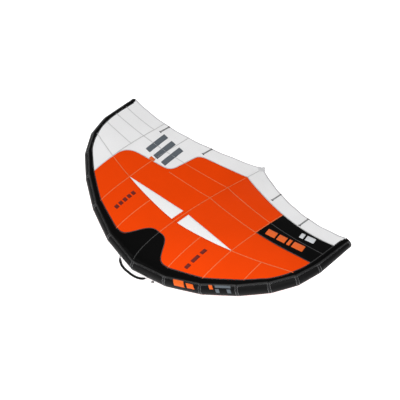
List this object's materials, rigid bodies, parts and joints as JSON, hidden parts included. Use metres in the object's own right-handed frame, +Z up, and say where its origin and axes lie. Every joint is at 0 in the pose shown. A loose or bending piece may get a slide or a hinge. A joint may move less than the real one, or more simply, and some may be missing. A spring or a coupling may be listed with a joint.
{
  "type": "inflatable hand-held wing",
  "caption": "Inflatable hand-held wing for foil boards: swept air-filled leading edge, centre strut, cambered cloth canopy with battens, and webbing and grip handles.",
  "frame": {"origin": "middle of the front strut handle grip, where a hand holds the wing", "axes": "+X across the span to the side with the dark panel, +Y back along the chord to the trailing edge, +Z up to the canopy side"},
  "size_m": [3.289, 2.122, 0.589],
  "materials": {
    "sleeve": "coated woven polyester, satin",
    "seam_tape": "woven tape with double stitching",
    "canopy_orange": "resin-finished ripstop",
    "canopy_white": "resin-finished ripstop",
    "canopy_black": "resin-finished ripstop",
    "hem": "folded tape",
    "pocket": "woven tape",
    "bladder": "translucent film",
    "webbing": "woven webbing",
    "patch": "heavy coated cloth",
    "foam_grip": "matt foam",
    "valve_plastic": "moulded, satin",
    "batten": "pultruded glass fibre"
  },
  "bodies": {
    "wing": {"le_panel_left_1": "sleeve", "le_panel_left_2": "sleeve", "le_panel_left_3": "sleeve", "le_panel_left_4": "sleeve", "le_panel_left_5": "sleeve", "le_panel_left_6": "sleeve", "le_panel_left_7": "sleeve", "le_panel_right_1": "sleeve", "le_panel_right_2": "sleeve", "le_panel_right_3": "sleeve", "le_panel_right_4": "sleeve", "le_panel_right_5": "sleeve", "le_panel_right_6": "sleeve", "le_panel_right_7": "sleeve", "strut_panel_1": "sleeve", "strut_panel_2": "sleeve", "strut_panel_3": "sleeve", "strut_panel_4": "sleeve", "le_tip_cap_left": "sleeve", "le_tip_cap_right": "sleeve", "le_seam_tapes_left": "seam_tape", "le_seam_tapes_right": "seam_tape", "leading_strip_left": "canopy_black", "leading_strip_right": "canopy_black", "front_panel_left": "canopy_orange", "front_panel_right": "canopy_orange", "rear_panel_left": "canopy_orange", "rear_panel_right": "canopy_orange", "trailing_panel_left": "canopy_white", "trailing_panel_right": "canopy_white", "dart_left": "canopy_white", "dart_right": "canopy_white", "tip_panel_left": "canopy_white", "outer_panel_right": "canopy_orange", "side_panel_right": "canopy_black", "le_centre_tape": "seam_tape", "le_bladder": "bladder", "strut_seam_tapes": "seam_tape", "strut_rear_cap": "sleeve", "strut_bladder": "bladder", "strut_web": "canopy_black", "feed_tube": "valve_plastic", "trailing_hem": "hem", "te_corner_patch": "pocket", "batten_pockets": "pocket", "battens": "batten", "tube_patches": "patch", "strut_patches": "patch", "valve_flange": "patch", "valve_body": "valve_plastic"},
    "le_handle_body": {"le_handle": "webbing"},
    "front_handle": {"front_grip": "foam_grip", "front_straps": "webbing"},
    "rear_handle": {"rear_grip": "foam_grip", "rear_straps": "webbing"},
    "leash": {"leash_loop": "webbing"},
    "cap": {"valve_cap": "valve_plastic"}
  },
  "joints": [
    {"name": "le_handle_swing", "type": "hinge", "parent": "wing", "child": "le_handle_body", "pos_m": [0, -0.61005, -0.03224], "axis": [1, 0, 0], "range_deg": [-40, 50]},
    {"name": "front_handle_swing", "type": "hinge", "parent": "wing", "child": "front_handle", "pos_m": [0, -0.00228, 0.06196], "axis": [0, 0.9993, 0.0368], "range_deg": [-60, 60]},
    {"name": "rear_handle_swing", "type": "hinge", "parent": "wing", "child": "rear_handle", "pos_m": [0, 0.4712, 0.05568], "axis": [0, 0.9984, -0.0558], "range_deg": [-60, 60]},
    {"name": "leash_swing", "type": "hinge", "parent": "wing", "child": "leash", "pos_m": [0.28386, -0.59292, -0.03558], "axis": [-0.0338, -0.6244, 0.7803], "range_deg": [-45, 45]},
    {"name": "valve_cap_open", "type": "hinge", "parent": "wing", "child": "cap", "pos_m": [-0.21397, -0.46078, -0.06319], "axis": [0.1821, 0.7494, 0.6365], "range_deg": [0, 150]}
  ]
}
